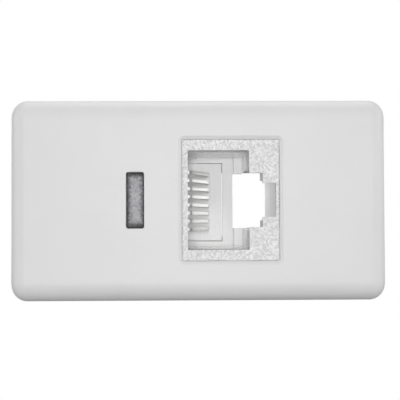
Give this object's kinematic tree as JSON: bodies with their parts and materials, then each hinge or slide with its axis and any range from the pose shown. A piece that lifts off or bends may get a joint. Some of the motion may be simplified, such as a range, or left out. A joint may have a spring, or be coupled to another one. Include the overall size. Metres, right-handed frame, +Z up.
{
  "type": "telephone socket",
  "caption": "Snap-in wall socket module with a modular telephone jack turned on its side, a small label window and push-in wire terminals behind.",
  "frame": {"origin": "centre of the module on the plane of the back of the rim, where it seats on the wall frame", "axes": "+X along the face towards the jack's latch side, +Y back into the wall, +Z up"},
  "size_m": [0.0456, 0.03, 0.0246],
  "materials": {
    "cover_plastic": "satin white",
    "lens_plastic": "smoked translucent plastic",
    "card": "blank grey card",
    "jack_plastic": "grained white",
    "carrier_plastic": "smooth white",
    "contact_metal": "nickel-plated phosphor bronze",
    "board": "coated glass laminate",
    "block_plastic": "satin white",
    "terminal_metal": "tin-plated bronze",
    "cap_plastic": "satin white"
  },
  "bodies": {
    "module": {"front_cover": "cover_plastic", "label_window": "lens_plastic", "label_card": "card", "jack_housing": "jack_plastic", "contact_carrier": "carrier_plastic", "circuit_board": "board", "terminal_block": "block_plastic", "idc_contact_1": "terminal_metal", "idc_contact_2": "terminal_metal", "idc_contact_3": "terminal_metal", "idc_contact_4": "terminal_metal", "idc_contact_5": "terminal_metal", "idc_contact_6": "terminal_metal", "idc_contact_7": "terminal_metal", "idc_contact_8": "terminal_metal"},
    "spring_1": {"contact_spring_1": "contact_metal"},
    "spring_2": {"contact_spring_2": "contact_metal"},
    "spring_3": {"contact_spring_3": "contact_metal"},
    "spring_4": {"contact_spring_4": "contact_metal"},
    "spring_5": {"contact_spring_5": "contact_metal"},
    "spring_6": {"contact_spring_6": "contact_metal"},
    "spring_7": {"contact_spring_7": "contact_metal"},
    "spring_8": {"contact_spring_8": "contact_metal"},
    "cap_upper": {"wire_cap_upper": "cap_plastic"},
    "cap_lower": {"wire_cap_lower": "cap_plastic"}
  },
  "joints": [
    {"name": "spring_flex_1", "type": "hinge", "parent": "module", "child": "spring_1", "pos_m": [-0.0028, -0.0038, -0.00356], "axis": [0, 0, 1], "range_deg": [0, 8], "stiffness_Nm_per_rad": 0.034},
    {"name": "spring_flex_2", "type": "hinge", "parent": "module", "child": "spring_2", "pos_m": [-0.0028, -0.0038, -0.00254], "axis": [0, 0, 1], "range_deg": [0, 8], "stiffness_Nm_per_rad": 0.034},
    {"name": "spring_flex_3", "type": "hinge", "parent": "module", "child": "spring_3", "pos_m": [-0.0028, -0.0038, -0.00152], "axis": [0, 0, 1], "range_deg": [0, 8], "stiffness_Nm_per_rad": 0.034},
    {"name": "spring_flex_4", "type": "hinge", "parent": "module", "child": "spring_4", "pos_m": [-0.0028, -0.0038, -0.00051], "axis": [0, 0, 1], "range_deg": [0, 8], "stiffness_Nm_per_rad": 0.034},
    {"name": "spring_flex_5", "type": "hinge", "parent": "module", "child": "spring_5", "pos_m": [-0.0028, -0.0038, 0.00051], "axis": [0, 0, 1], "range_deg": [0, 8], "stiffness_Nm_per_rad": 0.034},
    {"name": "spring_flex_6", "type": "hinge", "parent": "module", "child": "spring_6", "pos_m": [-0.0028, -0.0038, 0.00152], "axis": [0, 0, 1], "range_deg": [0, 8], "stiffness_Nm_per_rad": 0.034},
    {"name": "spring_flex_7", "type": "hinge", "parent": "module", "child": "spring_7", "pos_m": [-0.0028, -0.0038, 0.00254], "axis": [0, 0, 1], "range_deg": [0, 8], "stiffness_Nm_per_rad": 0.034},
    {"name": "spring_flex_8", "type": "hinge", "parent": "module", "child": "spring_8", "pos_m": [-0.0028, -0.0038, 0.00356], "axis": [0, 0, 1], "range_deg": [0, 8], "stiffness_Nm_per_rad": 0.034},
    {"name": "cap_upper_lift", "type": "slide", "parent": "module", "child": "cap_upper", "axis": [1, 0, 0], "range_m": [0, 0.008]},
    {"name": "cap_lower_lift", "type": "slide", "parent": "module", "child": "cap_lower", "axis": [1, 0, 0], "range_m": [0, 0.008]}
  ]
}
